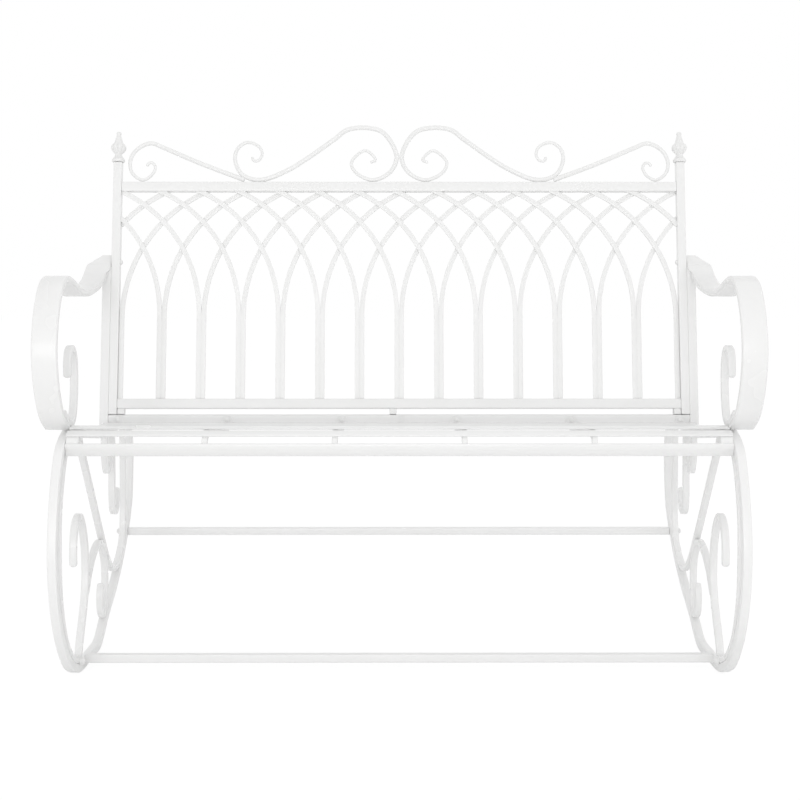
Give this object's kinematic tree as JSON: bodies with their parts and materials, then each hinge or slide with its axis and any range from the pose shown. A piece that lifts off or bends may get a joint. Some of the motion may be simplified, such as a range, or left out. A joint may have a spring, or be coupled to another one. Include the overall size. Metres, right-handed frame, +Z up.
{
  "type": "rocking bench",
  "caption": "White steel rocking bench with an arched lattice back, scrolled crest, slatted seat, curled armrests and scroll-filled rocker sides.",
  "frame": {"origin": "on the floor, under the middle of the bench's overall width and depth", "axes": "+X to the bench's left-hand end as someone sits in it, along its length, +Y to its back, +Z up; the seat opens to -Y"},
  "size_m": [1.27, 0.7774, 1.047],
  "materials": {
    "white_powder_coat": "gloss"
  },
  "bodies": {
    "root": {"rocker_right": "white_powder_coat", "rocker_left": "white_powder_coat", "armrest_right": "white_powder_coat", "armrest_left": "white_powder_coat", "arm_post_right": "white_powder_coat", "arm_post_left": "white_powder_coat", "arm_scroll_right": "white_powder_coat", "arm_scroll_left": "white_powder_coat", "side_brace_right": "white_powder_coat", "side_brace_left": "white_powder_coat", "lower_scroll_right": "white_powder_coat", "lower_scroll_left": "white_powder_coat", "rear_scroll_right": "white_powder_coat", "rear_scroll_left": "white_powder_coat", "seat_end_right": "white_powder_coat", "seat_end_left": "white_powder_coat", "seat_rear_rail": "white_powder_coat", "seat_rib_1": "white_powder_coat", "seat_rib_2": "white_powder_coat", "seat_rib_3": "white_powder_coat", "seat_rib_4": "white_powder_coat", "seat_slat_1": "white_powder_coat", "seat_slat_2": "white_powder_coat", "seat_slat_3": "white_powder_coat", "seat_slat_4": "white_powder_coat", "seat_slat_5": "white_powder_coat", "seat_slat_6": "white_powder_coat", "seat_slat_7": "white_powder_coat", "seat_slat_8": "white_powder_coat", "back_post_right": "white_powder_coat", "back_post_left": "white_powder_coat", "finial_right": "white_powder_coat", "finial_left": "white_powder_coat", "back_top_rail": "white_powder_coat", "back_bottom_rail": "white_powder_coat", "lattice_arch_1": "white_powder_coat", "lattice_arch_2": "white_powder_coat", "lattice_arch_3": "white_powder_coat", "lattice_arch_4": "white_powder_coat", "lattice_arch_5": "white_powder_coat", "lattice_arch_6": "white_powder_coat", "lattice_arch_7": "white_powder_coat", "lattice_arch_8": "white_powder_coat", "lattice_arch_9": "white_powder_coat", "lattice_arch_10": "white_powder_coat", "lattice_arch_11": "white_powder_coat", "lattice_arch_12": "white_powder_coat", "lattice_arch_13": "white_powder_coat", "lattice_arch_14": "white_powder_coat", "lattice_arch_15": "white_powder_coat", "crest_scroll_outer_left": "white_powder_coat", "crest_scroll_outer_right": "white_powder_coat", "crest_scroll_inner_left": "white_powder_coat", "crest_scroll_inner_right": "white_powder_coat", "stretcher_front": "white_powder_coat", "stretcher_rear": "white_powder_coat", "back_foot_right": "white_powder_coat", "back_foot_middle": "white_powder_coat", "back_foot_left": "white_powder_coat"}
  },
  "joints": []
}
